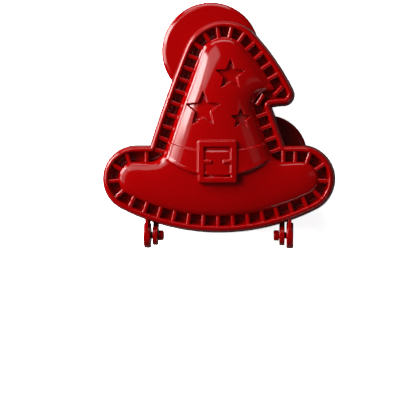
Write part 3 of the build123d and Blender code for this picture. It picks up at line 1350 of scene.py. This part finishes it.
@dataclass(frozen=True)
class Softbox:
    """One area light, placed by its direction from the mold and turned to face it.

    Turn is the direction across the floor, in degrees from the +X axis, and tilt is the angle off the
    vertical. Shift moves the light along its long side. Distance, size and shift are in metres.
    """

    name: str
    turn: float
    tilt: float
    distance: float
    size: Point
    radiance: float
    shift: float = 0.0
    colour: str = "#ffffff"

    @property
    def direction(self) -> Vector:
        """Unit vector from the mold towards the light's row."""
        turn, tilt = math.radians(self.turn), math.radians(self.tilt)
        return Vector((math.sin(tilt) * math.cos(turn), math.sin(tilt) * math.sin(turn), math.cos(tilt)))

    @property
    def place(self) -> Vector:
        """Where the light stands, shifted along its long side."""
        turn = math.radians(self.turn)
        along = Vector((math.sin(turn), -math.cos(turn), 0))
        return self.direction * self.distance + along * self.shift

    @property
    def power(self) -> float:
        """Watts that give the light's faces their radiance."""
        return self.radiance * math.pi * self.size[0] * self.size[1]

    def build(self) -> None:
        """Adds the light."""
        light = bpy.data.lights.new(self.name, "AREA")
        light.shape = "RECTANGLE"
        light.size, light.size_y = self.size
        light.energy = self.power
        light.color = linear(self.colour)[:3]
        lamp = bpy.data.objects.new(self.name, light)
        lamp.location = self.place
        lamp.rotation_euler = (-self.direction).to_track_quat("-Z", "Y").to_euler()
        bpy.context.scene.collection.objects.link(lamp)


@dataclass(frozen=True)
class KeyLight:
    """The big light at the left: strips side by side up its tilt, in rows of their own strength.

    A row is given by its start and end along the light, in metres, and by each strip's tilt and radiance.
    """

    turn: float = 160.0
    distance: float = 0.9
    strip_width: float = 0.112
    colour: str = "#fff6f4"
    rows: tuple = (
        (-0.01, 0.24, ((54, 17.0), (47, 18.0), (40, 18.0), (33, 1.2))),
        (-0.03, -0.01, ((54, 13.0), (47, 12.0), (40, 9.0), (33, 1.5))),
        (-0.33, -0.03, ((54, 9.0), (47, 7.0), (40, 4.0), (33, 1.2))),
    )

    def softboxes(self) -> list[Softbox]:
        """The strips as area lights."""
        strips = []
        for row, (start, end, levels) in enumerate(self.rows):
            size, shift = (end - start, self.strip_width), (start + end) / 2
            for tilt, radiance in levels:
                name = f"key_{row}_{tilt}"
                strips.append(
                    Softbox(name, self.turn, tilt, self.distance, size, radiance, shift, self.colour))
        return strips


@dataclass(frozen=True)
class Stage:
    """The pale floor, the lights and the world."""

    lights: tuple = (
        *KeyLight().softboxes(),
        Softbox("low", 150, 70, 0.95, (0.50, 0.20), 21.0),
        Softbox("top", 98, 54, 1.1, (0.8, 0.26), 3.6),
        Softbox("side", 18, 31, 0.9, (0.13, 0.26), 0.18),
        Softbox("brim_glow", 128, 33, 1.0, (0.36, 0.26), 1.8),
        Softbox("edge", -52, 68, 0.95, (0.70, 0.12), 2.2),
    )
    half_size: float = 3.0
    floor_colour: str = "#8c8c8c"
    floor_glow: float = 0.68
    floor_lift: tuple = (4.6, 4.9, 4.9, 1.0)
    ambient: float = 0.03

    def build(self) -> None:
        """Builds the floor, the lights and the world."""
        half = self.half_size
        corners = [(-half, -half, 0), (half, -half, 0), (half, half, 0), (-half, half, 0)]
        mesh = bpy.data.meshes.new("floor")
        mesh.from_pydata(corners, [], [(0, 1, 2, 3)])
        floor = bpy.data.objects.new("floor", mesh)
        bpy.context.scene.collection.objects.link(floor)
        floor.data.materials.append(self.paper())
        for light in self.lights:
            light.build()
        world = bpy.data.worlds.new("studio")
        world.use_nodes = True
        background = world.node_tree.nodes["Background"]
        background.inputs["Color"].default_value = linear("#ffffff")
        background.inputs["Strength"].default_value = self.ambient
        bpy.context.scene.world = world
        bpy.context.scene.view_settings.view_transform = "Standard"

    def paper(self) -> Material:
        """Grey paper that the camera sees nearly white, with the mold's soft shadow on it."""
        material = empty_material("white_paper")
        tree = material.node_tree
        paper = add_node(tree, "ShaderNodeBsdfDiffuse", {"Color": linear(self.floor_colour)})
        lit = add_node(tree, "ShaderNodeBsdfDiffuse", {"Color": self.floor_lift})
        glow = add_node(tree, "ShaderNodeEmission", {"Color": linear("#ffffff"), "Strength": self.floor_glow})
        both = add_node(tree, "ShaderNodeAddShader", None, {0: lit.outputs[0], 1: glow.outputs[0]})
        path = add_node(tree, "ShaderNodeLightPath")
        links = {"Fac": path.outputs["Is Camera Ray"], 1: paper.outputs[0], 2: both.outputs[0]}
        mix = add_node(tree, "ShaderNodeMixShader", None, links)
        add_node(tree, "ShaderNodeOutputMaterial", None, {"Surface": mix.outputs[0]})
        return material


@dataclass(frozen=True)
class Camera:
    """The photograph's camera: a long lens almost square to the hat's face.

    Its place is given in metres from the hinge axis, and what it looks at in mold coordinates.
    """

    place: tuple = (0.048, 0.039, 1.10)
    looked_at: tuple = (-5.9, 17.0, 13.0)
    view_angle: float = math.radians(13.2)
    farthest: float = 20.0

    def build(self) -> None:
        """Adds the camera, with the mold's +Y direction upright in its picture."""
        place = to_scene(np.zeros(3)) + self.place
        away = Vector(place - to_scene(np.array(self.looked_at))).normalized()
        right = Vector((0, 1, 0)).cross(away).normalized()
        data = bpy.data.cameras.new("camera")
        data.angle = self.view_angle
        data.clip_end = self.farthest
        camera = bpy.data.objects.new("camera", data)
        camera.location = place
        rotation = camera.matrix_world.to_3x3()
        for row in range(3):
            rotation[row] = (right[row], away.cross(right)[row], away[row])
        camera.rotation_euler = rotation.to_euler()
        bpy.context.scene.collection.objects.link(camera)
        bpy.context.scene.camera = camera


def main() -> None:
    """Builds every piece, the stage and the camera; each piece's face count is logged as it is added."""
    logging.basicConfig(level=logging.INFO)
    relief = Relief()
    HatHalf(FRONT_SHELL, relief).build()
    HatHalf(REAR_SHELL, relief).build()
    RIBS.build()
    TEETH.build()
    Hinges().build()
    PalmPads(relief).build()
    Stage().build()
    Camera().build()


if __name__ == "__main__":
    main()
